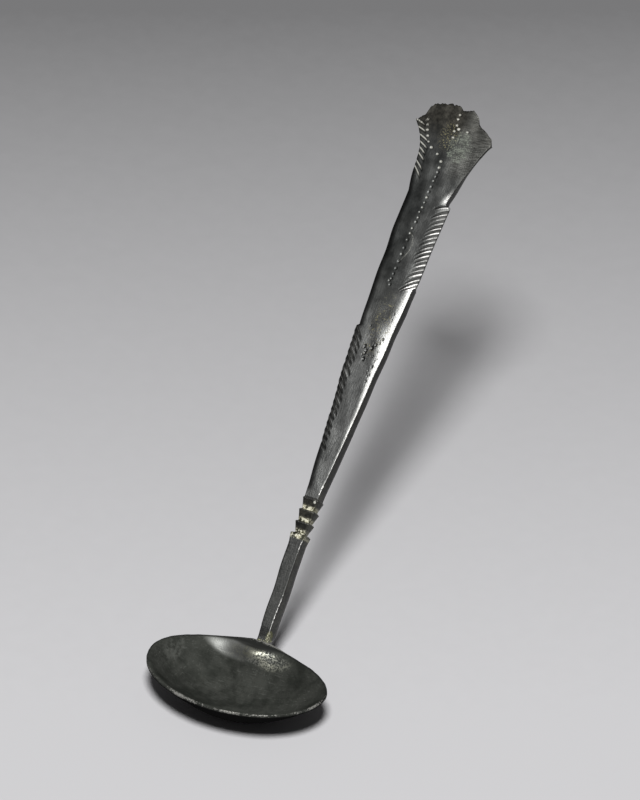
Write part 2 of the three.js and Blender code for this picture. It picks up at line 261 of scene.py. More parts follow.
class Field:
    """What varies over a surface, such as a mask, a colour or a place: one node's output."""

    def __init__(self, socket):
        self.socket = socket

    def node(self, kind, settings, inputs, output=0):
        """Adds a node: its settings first, then a value or a link for each input."""
        made = self.socket.id_data.nodes.new(kind)
        for name, value in settings.items():
            setattr(made, name, value)
        for name, value in inputs.items():
            feed(made.inputs[name], value)
        return Field(made.outputs[output])

    def math(self, operation, first, second):
        return self.node("ShaderNodeMath", {"operation": operation}, {0: first, 1: second})

    def __add__(self, other):
        return self.math("ADD", self, other)

    def __radd__(self, other):
        return self.math("ADD", other, self)

    def __sub__(self, other):
        return self.math("SUBTRACT", self, other)

    def __rsub__(self, other):
        return self.math("SUBTRACT", other, self)

    def __mul__(self, other):
        return self.math("MULTIPLY", self, other)

    def __rmul__(self, other):
        return self.math("MULTIPLY", other, self)

    def __pow__(self, power):
        return self.math("POWER", self, power)

    def over(self, low, high):
        """0 at low and 1 at high, with a smooth change between."""
        return self.node(
            "ShaderNodeMapRange", {"interpolation_type": "SMOOTHSTEP"},
            {"Value": self, "From Min": low, "From Max": high})

    def between(self, low, high):
        """Takes a share from 0 to 1 to a value from low to high."""
        return self.node(
            "ShaderNodeMapRange", {"clamp": True},
            {"Value": self, "To Min": low, "To Max": high})

    def colours(self, low, high):
        """Mixes two colours by a share."""
        return self.node(
            "ShaderNodeMix", {"data_type": "RGBA"}, {0: self, 6: low, 7: high}, 2)

    def stretched(self, scale):
        """A place with each coordinate multiplied by its own scale."""
        return self.node(
            "ShaderNodeVectorMath", {"operation": "MULTIPLY"}, {0: self, 1: scale})

    def axes(self):
        """The three coordinates of a place."""
        return [self.node("ShaderNodeSeparateXYZ", {}, {0: self}, axis) for axis in range(3)]

    def look(self, name):
        """A look that the piece's mesh keeps at its points."""
        return self.node("ShaderNodeAttribute", {"attribute_name": name}, {}, "Fac")

    def grain(self, size, detail=3.0, roughness=0.55):
        """Noise over a place in millimetres, in spots of about this size."""
        return self.node(
            "ShaderNodeTexNoise", {},
            {"Vector": self, "Scale": 1 / size, "Detail": detail, "Roughness": roughness})

    def relief(self, depth):
        """The normal over a height from 0 to 1, with its depth in millimetres."""
        return self.node("ShaderNodeBump", {}, {"Height": self, "Distance": depth / 1000})


def feed(target, value):
    """Links a field to a node's input, or sets a plain value there."""
    if isinstance(value, Field):
        target.id_data.links.new(value.socket, target)
    else:
        target.default_value = value


def near(place, target, reach, softness=0.5):
    """1 at a target place and 0 beyond the reach, for lists of coordinates."""
    squares = [((p - t) * (1 / r)) ** 2 for p, t, r in zip(place, target, reach)]
    return 1 - sum(squares[1:], squares[0]).over(1 - softness, 1 + softness)


def begin_material(name):
    """A new material, and the place on its piece in millimetres."""
    material = bpy.data.materials.new(name)
    material.use_nodes = True
    shader = Field(material.node_tree.nodes["Principled BSDF"].outputs["BSDF"])
    metres = shader.node("ShaderNodeTexCoord", {}, {}, "Object")
    return material, metres.stretched((1000, 1000, 1000))


def finish_material(material, **inputs):
    """Feeds the shader's inputs, which are named with _ in place of a space."""
    shader = material.node_tree.nodes["Principled BSDF"]
    for name, value in inputs.items():
        feed(shader.inputs[name.replace("_", " ")], value)
    return material


def layered(colour, layers):
    """A colour with others laid over it in turn, each by its own share."""
    for share, layer in layers:
        colour = share.colours(colour, layer)
    return colour


def bowl_silver():
    """Dull grey-green patina, worn bright along the rim. The back wall has a painted highlight
    band over smoother, more metallic silver, with painted highlight specks beside it. The rim's
    top behind has painted shade, and the underside is painted near black as shade.
    """
    material, place = begin_material("tarnished_bowl_silver")
    x, y, z = place.axes()
    clouds = place.grain(9, 3)
    patches = place.grain(2.4, 5, 0.7)
    flecks = place.grain(0.45, 3, 0.7)
    grit = place.grain(0.3, 2, 0.5)
    scratches = place.stretched((0.16, 1.3, 1.0)).grain(0.45, 1.5, 0.5)
    scuffs = place.stretched((1.1, 0.2, 1.0)).grain(0.5, 1.5, 0.5)

    # The wall behind carries a painted highlight band, smoother and more metallic, even on the
    # left and broken by grain on the right, with painted highlight specks beside it
    back_wall = near((x, y), (-2.8, 11.3), (10.0, 1.7), 0.7) * z.over(6.5, 8.5)
    grainy = x.over(-4.5, 1.5)
    highlight_band = back_wall * (1 - grainy * (1.5 * flecks + patches).over(1.35, 1.05))
    highlight_specks = near((x, y), (0.6, 11.2), (7.6, 1.4), 0.8) * (flecks + patches).over(0.93, 1.12)
    lip = near((x, y), (-0.9, 14.8), (7.5, 2.6), 0.3) * z.over(9.8, 10.3)
    smudge = near((x, y), (-20.0, 5.5), (1.8, 4.5), 0.9) * patches.over(0.4, 0.65)
    hairlines = (scratches.over(0.6, 0.72) + scuffs.over(0.62, 0.74)) * clouds.over(0.4, 0.6)
    wear = place.look("wear_and_glint")
    wear_and_glint = (wear + 3 * flecks + 1.6 * patches - 2.6).over(0.1, 0.7) * wear.over(0.02, 0.1)
    # The underside is painted near black as painted shade, and is matt, not metallic
    under = place.look("under")

    patina = (0.5 * clouds + 0.4 * patches + 0.1 * scratches).over(0.35, 0.65)
    dark_grain = grainy * flecks.over(0.6, 0.4)
    light_marks = 0.2 * hairlines + 0.3 * smudge + 0.06 * grit.over(0.68, 0.72)
    # Over the patina: the painted highlight band, light marks, painted highlight specks, the lip,
    # painted shade on the rim's top, bright wear and the underside painted near black as shade
    colour = layered(patina.colours((0.022, 0.0238, 0.0205, 1), (0.054, 0.0565, 0.05, 1)), [
        (0.9 * highlight_band, dark_grain.colours((0.25, 0.255, 0.243, 1), (0.08, 0.085, 0.08, 1))),
        (light_marks, (0.17, 0.175, 0.16, 1)),
        (0.8 * highlight_specks, (0.34, 0.34, 0.275, 1)),
        (0.8 * lip, (0.04, 0.041, 0.039, 1)),
        (0.75 * place.look("rim_top_shade"), (0.02, 0.021, 0.02, 1)),
        (0.85 * wear_and_glint, (0.4, 0.395, 0.365, 1)),
        (under, (0.008, 0.008, 0.008, 1))])
    roughness = 0.7 * patches + 0.3 * scratches - 0.5 * highlight_band - 0.4 * wear_and_glint + under
    height = 0.4 * scratches + 0.4 * scuffs + 0.4 * flecks + 0.5 * patches
    return finish_material(
        material,
        Base_Color=colour,
        Metallic=(0.15 + 0.7 * highlight_band + 0.4 * wear_and_glint) * (1 - under),
        Roughness=roughness.between(0.42, 0.75),
        Specular_IOR_Level=0.0,
        Normal=(height * (1 - 0.75 * (highlight_band * (1 - grainy)))).relief(0.1))


bowl.data.materials.append(bowl_silver())
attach(bowl, "root")
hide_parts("bowl")


# The handle
# One forging. A flat tongue under the bowl's lip turns up into a square shank, three filed
# collars, and a long blade in the form of a fish with two side fins and a broken tail.

film_thickness = 0.25
root_clearance = 0.05
root_turn = 4.0
root_fillet = 0.45
tongue_thickness = 1.0
tongue_length = 3.6
tongue_top = lip_underside - film_thickness
tongue_bottom = tongue_top - tongue_thickness
tongue_half_width = 4.6
tongue_front = root_y - tongue_length
tongue_corner = 1.2
tongue_shoulder = 0.9
handle_inset = 0.2
handle_start_y = root_y - handle_inset
shank_angle = math.radians(46)
blade_angle = math.radians(41)
bend_start = 24
bend_length = 20
sway_start = 110
sway_at_tip = 1.1
shank_length = 28.5
shank_root_width = 2.8
shank_top_width = 3.6
shank_end_width = 4.3
shank_flare = 2.5
shank_root_thickness = 5.0
shank_top_thickness = 4.0
collar_count = 3
collar_pitch = 3.15
collar_width = 3.85
collar_growth = 0.38
collar_thickness = 4.2
collar_waist = 0.65
collar_edge = 0.2
blade_length = 82.5
blade_neck_width = 3.8
blade_width = 11.1
blade_thickness = 3.6
neck_thickness = 4.1
neck_taper = 22
fin_step = 0.5
tail_length = 24.4
tail_half_width = 11.05
tail_tip_drop = 6.8
tail_thickness = 1.0
thinned_at = 0.7
collars_end = shank_length + collar_count * collar_pitch
tail_start = collars_end + blade_length
tail_side_length = tail_length - tail_tip_drop
tail_end = tail_start + tail_side_length
handle_length = tail_start + tail_length

# Cove of a collar: places along it, with the share of the waist's depth
collar_cove = ((collar_edge, 1.0), (1.0, 0.75), (2.1, 0.35), (collar_pitch - collar_edge, 0.0))

# The curved sides: shares of the blade's length and width, then for the tail's left and
# right side its waist as a share of the blade's width and its flare of the tail's
blade_curve = ((0.26, 0.33), (0.6, 0.48))
tail_waist_place, tail_flare_place = 0.4, 0.72
tail_curves = ((0.65, 0.51), (0.685, 0.8))

# Fins: length and height of the lead-in, start, end, and how far they stand out at both
left_fin = (1, 0, 14.5, 45.5, 0, 0.8)
right_fin = (14, 0.6, 59, 81, 1.1, 1.4)

# The break: from -1 at the left to 1 at the right, and how far it lies below the tip. A
# higher spread leaves more of the tail as it is
break_edge = [
    (-1.0, 6.6), (-0.92, 5.9), (-0.8, 4.35), (-0.77, 2.5), (-0.7, 1.5), (-0.56, 0.9),
    (-0.4, 0.55), (-0.28, 0.1), (-0.16, 0.25), (-0.06, 0.1), (0.0, 1.1), (0.08, 1.0),
    (0.25, 0.35), (0.32, 0.45), (0.4, 1.45), (0.46, 1.7), (0.52, 3.65), (0.72, 4.5),
    (0.84, 5.5), (0.93, 5.9), (0.97, 6.6), (1.0, 7.9)]
break_spread = 11
jag_height, jag_width = 0.16, 0.11
fine_jag_height, fine_jag_width = 0.1, 0.04
jag_level = 0.1
jags_reach = 0.97

# The thin right edge: place and how far the side below it is filed away
thin_edge = [
    (90, 0), (96.4, 0.2), (97.0, 1.05), (119.0, 1.15), (119.6, 0.4), (128, 0.4), (134, 0)]

# The right-hand bevel of the upper face: place, width and slope
right_bevel = [
    (38, 0.3, 0.1), (41, 0.5, 0.36), (48, 0.6, 0.36), (56, 0.85, 0.35), (64, 1.3, 0.35),
    (72, 2.0, 0.35), (80, 3.4, 0.35), (88, 2.9, 0.35), (96, 2.3, 0.35), (97, 3.6, 0.36),
    (118.9, 3.2, 0.36), (119.6, 1.9, 0.43), (121.6, 1.7, 0.37), (123.2, 1.5, 0.2),
    (125, 1.2, 0.08), (131, 0.6, 0.0)]
roll_width = 1.6
roll_depth = 0.11
edge_waver, edge_waver_length = 0.05, 16
face_waver, face_waver_length = 0.035, 9

# Punched dots, the slipped tool's scratch and the large pits: along, across, a pit's radius
side_line = [
    (95.8, -0.56), (96.8, -1.1), (97.4, -0.75), (98.7, -0.64), (100.2, -0.56), (102.1, -0.56),
    (104.1, -0.5), (105.8, -0.46), (108.0, -0.41), (109.8, -0.32), (111.2, -0.34),
    (113.0, -0.08), (114.2, 0.05), (115.7, -0.17), (117.0, 0.05), (118.4, 0.08),
    (119.8, 0.1), (121.3, 0.05), (122.7, 0.17), (124.3, 0.1), (125.5, 0.22), (126.8, 0.22)]
left_arc = [
    (128.0, 0.14), (129.6, -0.05), (131.2, -1.81), (132.4, -4.0), (133.6, -5.3),
    (135.0, -6.1), (136.4, -6.8), (137.7, -7.3), (139.0, -7.75)]
right_arc = [
    (142.4, -0.1), (141.2, -0.19), (139.6, 0.21), (138.0, 0.15), (136.4, 0.45),
    (138.8, 1.03), (138.7, 3.59)]
dot_depth = 0.1
burr_height = 0.03
scratch = np.array([
    (110.0, -0.3), (109.1, 0.7), (107.3, 1.2), (105.6, 1.1), (103.8, 0.4), (102.0, -0.6)])
large_pits = [
    (79.0, -1.0, 0.5), (78.0, -0.27, 0.42), (77.3, -0.4, 0.5), (76.8, -0.9, 0.36),
    (78.9, 0.96, 0.62), (75.7, -0.2, 0.56), (80.0, 1.75, 0.42), (74.4, 2.8, 0.36),
    (72.2, 2.8, 0.3), (70.4, 2.6, 0.36), (71.8, 2.5, 0.3), (81.9, 2.9, 0.36),
    (80.7, 2.5, 0.32), (77.0, 2.0, 0.3), (76.0, 2.9, 0.24), (73.2, 2.2, 0.24)]
small_pit_count = 45
pit_depth = 0.35


def handle_line(s, depth):
    """Height and reach along the handle: s along its upper face, and depth below it."""
    in_shank = np.minimum(s, bend_start)
    in_bend = np.clip(s - bend_start, 0, bend_length)
    in_blade = np.maximum(s - bend_start - bend_length, 0)
    turn = blade_angle - shank_angle
    radius = bend_length / turn
    angle = shank_angle + turn * in_bend / bend_length
    y = (handle_start_y + in_shank * math.cos(shank_angle)
         + radius * (np.sin(angle) - math.sin(shank_angle)) + in_blade * np.cos(angle))
    z = (rim_height + in_shank * math.sin(shank_angle)
         - radius * (np.cos(angle) - math.cos(shank_angle)) + in_blade * np.sin(angle))
    return y + depth * np.sin(angle), z - depth * np.cos(angle)


def cubic_curve(points, count=120):
    """A smooth curve from the first of four points to the last."""
    share = np.linspace(0, 1, count)[:, None]
    a, b, c, d = np.array(points)
    return (a * (1 - share) ** 3 + 3 * b * share * (1 - share) ** 2
            + 3 * c * share ** 2 * (1 - share) + d * share ** 3)


def read_table(table, places):
    """The columns of a table, read at places along its first one."""
    first, *others = np.transpose(table)
    return [np.interp(places, first, column) for column in others]


# Sections along the handle: place, half width, depth of the upper face and of the underside
sections = [
    (0, shank_root_width / 2, 0, shank_root_thickness),
    (shank_length - shank_flare, shank_top_width / 2, 0, shank_top_thickness),
    (shank_length - collar_edge, shank_end_width / 2, 0, shank_top_thickness),
    (shank_length, shank_end_width / 2 - collar_edge, collar_edge / 2,
     shank_top_thickness - collar_edge)]
for collar in range(collar_count):
    start = shank_length + collar * collar_pitch
    half_width = (collar_width + collar * collar_growth) / 2
    for offset, waist in collar_cove:
        inset = collar_waist * waist
        sections.append((start + offset, half_width - inset, inset, collar_thickness - inset))
    sections.append((start + collar_pitch, half_width - collar_edge, collar_edge,
                     collar_thickness - collar_edge))
blade_side = cubic_curve([
    (0, blade_neck_width / 2),
    *[(blade_length * reach, blade_width * width) for reach, width in blade_curve],
    (blade_length, blade_width / 2)])
for offset, half_width in blade_side:
    sections.append((
        collars_end + collar_edge + offset * (1 - collar_edge / blade_length), half_width, 0,
        neck_thickness + (blade_thickness - neck_thickness) * smoothstep(0, neck_taper, offset)))
tail_left, tail_right = [
    cubic_curve([
        (0, blade_width / 2), (tail_side_length * tail_waist_place, blade_width * waist),
        (tail_side_length * tail_flare_place, tail_half_width * flare),
        (tail_side_length, tail_half_width)])
    for waist, flare in tail_curves]
thinning = smoothstep(0, thinned_at, np.linspace(0, 1, len(tail_left)))
for (offset, half_width), thinned in zip(tail_left[1:], thinning[1:]):
    sections.append((tail_start + offset, half_width, 0,
                     blade_thickness + (tail_thickness - blade_thickness) * thinned))

# Rings lie closer where the forms are finer: where a spacing starts, and its size
spacings = [
    (root_turn, 0.35), (shank_length - shank_flare, 0.11), (collars_end + 1, 0.17),
    (tail_end - 5, 0.07), (tail_end - 2, 0.035)]
spacing_ends = [start for start, _ in spacings[1:]] + [tail_end - 0.02]
stations = [np.arange(start, end, step) for (start, step), end in zip(spacings, spacing_ends)]
stations = np.concatenate(stations + [[tail_end]])
half_widths, upper, under = read_table(sections, stations)


def fin_reach(fin):
    """How far a fin stands out from the side at each ring."""
    lead, shoulder, start, end, rise, proud = fin
    return np.interp(
        stations - collars_end,
        [start - lead, start - fin_step, start, end, end + fin_step],
        [0, shoulder * (1 - fin_step / lead), rise, proud, 0])


tail_extra = np.interp(
    stations, tail_start + tail_left[:, 0], tail_right[:, 1] - tail_left[:, 1])
left_reach = half_widths + fin_reach(left_fin)
left_reach += edge_waver * unevenness(21, edge_waver_length, stations)
right_reach = half_widths + tail_extra + fin_reach(right_fin)
right_reach += edge_waver * unevenness(22, edge_waver_length, stations)
tail_share = np.clip((stations - tail_start) / tail_side_length, 0, 1)
in_tail = smoothstep(0, 1, tail_share)
on_blade = smoothstep(collars_end, collars_end + 4, stations)
in_collars = (stations > shank_length) & (stations < collars_end)

# Each ring of points runs over the upper face from left to right, down the right side,
# back under the handle and up the left side. Radii are of its upper and its lower corners,
# and a corner takes no more than the limit's share of the thickness
upper_columns = np.linspace(-1, 1, 97)
under_columns = np.linspace(1, -1, 25)
corner_steps = np.array([0.3, 0.65, 1.0])
side_steps = np.array([0.25, 0.5, 0.75])
side_count = 2 * len(corner_steps) + len(side_steps) - 1
side_ones = np.ones(side_count)
columns = np.concatenate([upper_columns, side_ones, under_columns, -side_ones])
around = len(columns)
on_top = np.arange(around) < len(upper_columns)
collar_radii, blade_radii, root_radii = (0.35, 0.45), (0.16, 0.25), (0.16, 0.4)
corner_limit = 0.45


def section_ring(left, right, top, bottom, upper_radius, under_radius):
    """Sideways places and depths of one ring of points."""
    radius = min(upper_radius, (bottom - top) * corner_limit)
    low_radius = min(under_radius, (bottom - top) * corner_limit)
    turn = np.pi / 2 * corner_steps
    height = bottom - top - radius - low_radius
    side_in = np.concatenate([
        radius * (1 - np.sin(turn)), 0 * side_steps, low_radius * (1 - np.cos(turn[:-1]))])
    side_down = np.concatenate([
        top + radius * (1 - np.cos(turn)), top + radius + height * side_steps,
        bottom - low_radius * (1 - np.sin(turn[:-1]))])
    across = np.concatenate([
        np.where(upper_columns < 0, left - radius, right - radius) * upper_columns,
        right - side_in,
        np.where(under_columns < 0, left - low_radius, right - low_radius) * under_columns,
        -(left - side_in[::-1])])
    depth = np.concatenate([
        np.full(len(upper_columns), top), side_down,
        np.full(len(under_columns), bottom), side_down[::-1]])
    return across, depth


radii = np.where(in_collars[:, None], collar_radii, blade_radii).T
rings = [section_ring(*row) for row in zip(left_reach, right_reach, upper, under, *radii)]
across, depth = [np.array(rows) for rows in zip(*rings)]

# The right edge is thin along the fin and the tail, with its lower side filed away
[filed_away] = read_table(thin_edge, stations)
level = np.clip((depth - upper[:, None]) / (under - upper)[:, None], 0, 1)
across -= np.clip(across, 0, None) / right_reach[:, None] * filed_away[:, None] * level

# The tail's end follows the break, with a fine jagged edge
[break_drop] = read_table(break_edge, columns)
jagged = jag_height * unevenness(23, jag_width, columns)
jagged += fine_jag_height * unevenness(24, fine_jag_width, columns)
jagged = np.maximum(jagged + jag_level, 0) * (np.abs(columns) < jags_reach)
end_gain = tail_tip_drop - break_drop - jagged
along = stations[:, None] + tail_share[:, None] ** break_spread * end_gain

# The upper face is a little uneven. Its right-hand part turns down to the edge in a bevel,
# which is broadest on the right fin, and the left edge is rolled
bevel_width, bevel_slope = read_table(right_bevel, along)
into_bevel = np.clip(1 + (across - right_reach[:, None]) / bevel_width, 0, 1)
drop = bevel_slope * bevel_width * into_bevel ** 2 / 2
into_left = np.clip(-across - (left_reach[:, None] - roll_width), 0, None)
into_left *= on_blade[:, None] * (1 - in_tail[:, None])
drop += roll_depth * into_left ** 2
waver = unevenness(25, face_waver_length, along, across * 1.5)
drop += face_waver * waver * on_blade[:, None]
upper_share = np.clip(1 - level / 0.6, 0, 1)
drop *= upper_share

# Tool marks are cut into the upper face: filed strokes on the fins and the tail, and punched
# dots for the line along the fish's side. Each mark also changes the colour where it lies, and
# a painted glint lies on the land beside each filed groove
cut = np.zeros_like(along)
# The rolled left edge of the blade is painted darker, a painted shade along it
dark = 0.6 * smoothstep(0.2, 1.5, into_left)
pale = np.zeros_like(along)
bright = np.zeros_like(along)

# How much strokes differ, their bend, and their groove's two sides as shares of the pitch
place_jitter, slope_jitter = 0.07, 0.04
length_range, strength_range = (0.85, 1.15), (0.6, 1.1)
stroke_bend = 0.06
steep_side, gentle_side = 0.2, 0.42


def raise_to(look, amount):
    """Raises a look to this amount wherever it is lower."""
    np.maximum(look, amount, out=look)


def file_strokes(side, first, last, count, lean, reach, fading, deep, darkness, shine,
                 line_width, seed, deposit=0):
    """Filed strokes from an edge inwards. Pairs are for the first and the last stroke.

    lean is the run along per run across, fading the share of its length over which a stroke
    dies out, shine the painted glint on the land beside its groove, and deposit the pale dirt in
    its groove."""
    random = np.random.default_rng(seed)
    pitch = (last - first) / (count - 1)
    changing = [np.linspace(*pair, count) for pair in ((first, last), lean, reach, shine)]
    for s, slope, length, glint in zip(*changing):
        s += random.normal(0, place_jitter * pitch)
        slope += random.normal(0, slope_jitter)
        length *= random.uniform(*length_range)
        strength = random.uniform(*strength_range)
        edge = np.interp(s, stations, left_reach if side < 0 else right_reach)
        inward = edge - across * side
        aside = along - s - slope * inward + stroke_bend * inward ** 2
        aside /= math.hypot(1, slope) * pitch
        taper = np.clip((length - inward) / (fading * length), 0, 1) ** 0.7 * (inward > -0.5)
        flank = np.where(aside > 0, aside / steep_side, -aside / gentle_side)
        groove = np.clip(1 - flank, 0, 1) * taper
        # A painted glint lies on the land beside the groove
        land = np.exp(-((aside + 0.4 + line_width) / line_width) ** 2) * taper
        middle = np.exp(-((aside - 0.05) / line_width) ** 2) * taper
        raise_to(cut, deep * groove * strength)
        raise_to(dark, darkness * np.minimum(2.5 * groove, 1) * (1 - deposit * middle))
        raise_to(bright, glint * land * strength)
        raise_to(pale, deposit * middle)


# The left fin, the right fin's coarse strokes and the fine ones between them, then the tail's
# left and right side
file_strokes(
    -1, 53.0, 83.4, 17, lean=(-0.85, -0.95), reach=(2.1, 2.8), fading=0.4, deep=0.16,
    darkness=1, shine=(0.6, 0.6), line_width=0.08, seed=31, deposit=0.5)
file_strokes(
    1, 97.6, 119.3, 18, lean=(-0.5, -0.4), reach=(3.9, 3.6), fading=0.5, deep=0.18,
    darkness=0.85, shine=(0.95, 0.5), line_width=0.16, seed=32)
file_strokes(
    1, 98.3, 118.9, 29, lean=(-0.6, -0.35), reach=(3.0, 3.3), fading=0.6, deep=0.05,
    darkness=0.5, shine=(0.2, 0.2), line_width=0.1, seed=35)
file_strokes(
    -1, 126.7, 138.0, 8, lean=(-0.8, -0.05), reach=(2.5, 3.1), fading=0.35, deep=0.16,
    darkness=0.95, shine=(0.3, 0.1), line_width=0.14, seed=33, deposit=0.8)
file_strokes(
    1, 128.6, 138.4, 13, lean=(-0.3, -0.05), reach=(2.2, 5.5), fading=0.9, deep=0.03,
    darkness=0.35, shine=(0.15, 0.2), line_width=0.12, seed=34)


def punch_dots(dots, size, faintest, brightest, seed):
    """Punched dots, each a small round dent with a raised burr and pale dirt in it."""
    random = np.random.default_rng(seed)
    for s, x in dots:
        radius = size * random.uniform(0.85, 1.15)
        from_dot = np.hypot(along - s, across - x) / radius
        filled = smoothstep(1.25, 0.5, from_dot)
        cut[:] *= 1 - filled
        dark[:] *= 1 - filled
        raise_to(cut, dot_depth * np.clip(1 - from_dot ** 2, 0, 1) * upper_share)
        cut[:] -= burr_height * np.exp(-((from_dot - 1.2) / 0.3) ** 2) * upper_share
        raise_to(pale, random.uniform(faintest, brightest) * filled)


punch_dots(side_line[:9], 0.42, 0.1, 0.28, 44)
punch_dots(side_line[9:], 0.38, 0.16, 0.5, 41)
punch_dots(left_arc, 0.42, 0.5, 0.65, 42)
punch_dots(right_arc, 0.36, 0.55, 1, 43)

# A slipped tool scratched the blade beside the dots
scratch_steps = np.linspace(0, len(scratch) - 1, 50)
scratch_line = [
    np.interp(scratch_steps, np.arange(len(scratch)), scratch[:, axis]) for axis in (0, 1)]
from_scratch = np.min([np.hypot(along - s, across - x) for s, x in zip(*scratch_line)], axis=0)
raise_to(pale, 0.36 * smoothstep(0.32, 0.08, from_scratch))

# Corrosion has eaten pits into the middle of the blade, a few large and many small
pit_random = np.random.default_rng(51)
small_pits = [(s, 1.0 + (84 - s) * 0.1 + x, r) for s, x, r in zip(
    pit_random.normal(80, 5, small_pit_count), pit_random.normal(0.4, 1.2, small_pit_count),
    pit_random.uniform(0.1, 0.24, small_pit_count))]
for s, x, radius in large_pits + small_pits:
    from_pit = np.hypot(along - s, (across - x) * 1.2) / radius
    raise_to(cut, pit_depth * radius * np.clip(1 - from_pit ** 2, 0, 1) * upper_share)
    raise_to(dark, 0.8 * np.exp(-((from_pit - 0.8) / 0.45) ** 2) * upper_share)

# The tail's right edge is painted dark as a line of painted shade. Grooves that run out over an
# edge notch its side
tail_edge_shade = smoothstep(0.5, 0.15, right_reach[:, None] - across) * (across > 0)
raise_to(dark, 0.8 * tail_edge_shade * smoothstep(121, 124, along))
cut *= upper_share
notch = np.where(on_top, 0, 1) * cut * np.where(across > 0, 0.5, 0.7)
notch *= level < 0.7
sideways = across - np.sign(across) * notch
sway = sway_at_tip * np.clip(along - sway_start, 0, None) / (handle_length - sway_start)
y, z = handle_line(along, depth + drop + cut)
blade_points = np.stack([handle_offset + sideways + sway, y, z], axis=-1)

# The root turns the tongue under the lip up into the shank, in rings that fan round
root_rings = []
tongue_ring_count = 22
turn_ring_count = 15
line_y, line_z = handle_line(np.array([root_turn] * 2), np.array([0, shank_root_thickness]))


def root_ring(half_width, top, bottom, s):
    """One ring between a point of the upper face and one of the underside."""
    length = math.dist(top, bottom)
    aside, down = section_ring(half_width, half_width, 0, length, *root_radii)
    share = (down / length)[:, None]
    line = np.array(top) * (1 - share) + np.array(bottom) * share
    root_rings.append((np.column_stack([handle_offset + aside, line]), np.full(around, s), aside))


for ring_y in np.linspace(tongue_front + 0.004, root_y, tongue_ring_count):
    curve = math.sqrt(min((ring_y - tongue_front) / tongue_corner, 1))
    half_width = tongue_half_width * (1 - (1 - curve) ** 2)
    to_root = max(ring_y - (root_y - tongue_shoulder), 0) / tongue_shoulder
    half_width += (shank_root_width / 2 - tongue_half_width) * to_root
    root_ring(half_width, (ring_y, tongue_top), (ring_y, tongue_bottom), ring_y - root_y - 1)
turn_start_y = root_y + root_clearance
foot_corner = line_y[1] - (line_z[1] - tongue_bottom) / math.tan(shank_angle)
foot_line = np.array([
    (turn_start_y, tongue_bottom), (foot_corner, tongue_bottom), (line_y[1], line_z[1])])
foot_distance = np.array([0, foot_corner - root_y, 0])
foot_distance[2] = foot_distance[1] + math.dist(foot_line[1], foot_line[2])
for share in np.linspace(0, 1, turn_ring_count + 1)[:-1]:
    run = (line_y[0] - turn_start_y) * share
    rise = math.tan(shank_angle) * (math.hypot(run, root_fillet) - root_fillet)
    straight = line_z[0] - rim_height - math.tan(shank_angle) * (line_y[0] - turn_start_y - run)
    height = rim_height + rise + (straight - rise) * smoothstep(0, 1, share)
    low = [
        np.interp(share * foot_distance[2], foot_distance, foot_line[:, axis])
        for axis in (0, 1)]
    root_ring(shank_root_width / 2, (turn_start_y + run, height), low, root_turn * share)

handle_rings, handle_along, handle_across = [
    np.concatenate([np.array(root), blade])
    for root, blade in zip(zip(*root_rings), (blade_points, along, across))]
root_count = len(root_rings)


def with_root(values):
    """Values for the blade's points, with none for the root's."""
    return np.concatenate([np.zeros((root_count, around)), values])


# Painted highlights lie on the collars' upper edges and along the shank's right-hand ridge, which
# is dull halfway up and shows once more past the collars
side_shares = [0.15, 0.5] + [1] * (side_count - 2)
sideness = np.concatenate([
    np.zeros(len(upper_columns)), side_shares, np.ones(len(under_columns)), side_shares[::-1]])
ridge = np.zeros(around)
ridge[len(upper_columns) - 6:len(upper_columns) + 2] = (0.3, 0.45, 0.6, 0.7, 0.8, 0.9, 1, 0.6)
ridge_highlight = ridge * np.clip(0.75 + 0.35 * unevenness(61, 1.1, handle_along), 0.3, 1)
ridge_highlight *= 1 - 0.85 * (
    smoothstep(10, 15, handle_along) * smoothstep(25.5, 22.5, handle_along))
ridge_highlight *= (handle_along < shank_length - 1.6) + 0.8 * (
    (handle_along > collars_end + 1.5) & (handle_along < collars_end + 4))
# Painted shade darkens the shank's left border
handle_left = np.concatenate([np.full(root_count, shank_root_width / 2), left_reach])
shank_border_shade = smoothstep(0.7, 0.86, -handle_across / handle_left[:, None])
shank_border_shade *= handle_along < shank_length
collar_share = ((stations - shank_length) / collar_pitch) % 1
collar_lip_highlight = smoothstep(0.7, 0.95, collar_share) * in_collars
collar_deposit = smoothstep(0.5, 0.2, collar_share) * in_collars
collar_deposit = np.maximum(
    collar_deposit, smoothstep(1.5, 1.1, shank_length - stations) * (stations < shank_length))
bright = np.maximum(bright, 0.34 * collar_lip_highlight[:, None]) * (1 - sideness)
# A painted glint on the top collar, laid into the pale look
collar_glint = 1.3 * np.exp(-((along - 37.2) ** 2 + (across - 1.3) ** 2) / 0.36 ** 2)
raise_to(pale, collar_glint)
# Among the handle's looks, the one for bright marks holds only painted highlights, and the dark
# one also holds painted shade along the edges
handle_looks = {
    "along": handle_along,
    "across": handle_across,
    "side": np.broadcast_to(sideness, handle_along.shape),
    "pale": with_root(pale * (1 - sideness)),
    "ring_crust": with_root(np.broadcast_to(collar_deposit[:, None], along.shape)),
    "wear_and_glint": np.maximum(with_root(bright), ridge_highlight),
    "dark": np.maximum(with_root(dark * (1 - sideness)), 0.85 * shank_border_shade),
    "bevel": with_root(into_bevel * on_blade[:, None] * (1 - sideness))}

# Faces close the tongue's front and the broken end, where several points of the upper face
# meet each step of the underside
handle_faces = tube_faces(len(handle_rings), around)
handle_faces.append(list(range(around))[::-1])
last_point = (len(handle_rings) - 1) * around
upper_count = len(upper_columns)
under_start = upper_count + side_count
left_start = under_start + len(under_columns) - 1
per_under = (upper_count - 1) // (len(under_columns) - 1)
for step in range(len(under_columns) - 1):
    right_end = last_point + upper_count - 1 - per_under * step
    below = last_point + under_start + step
    handle_faces.append([*range(right_end - per_under, right_end + 1), below, below + 1])
handle_faces.append([*range(last_point + upper_count - 1, last_point + under_start + 1)])
handle_faces.append([*range(last_point + left_start, last_point + around), last_point])
handle = metal_piece(
    "forged_fish_handle", handle_rings.reshape(-1, 3), handle_faces, handle_looks)


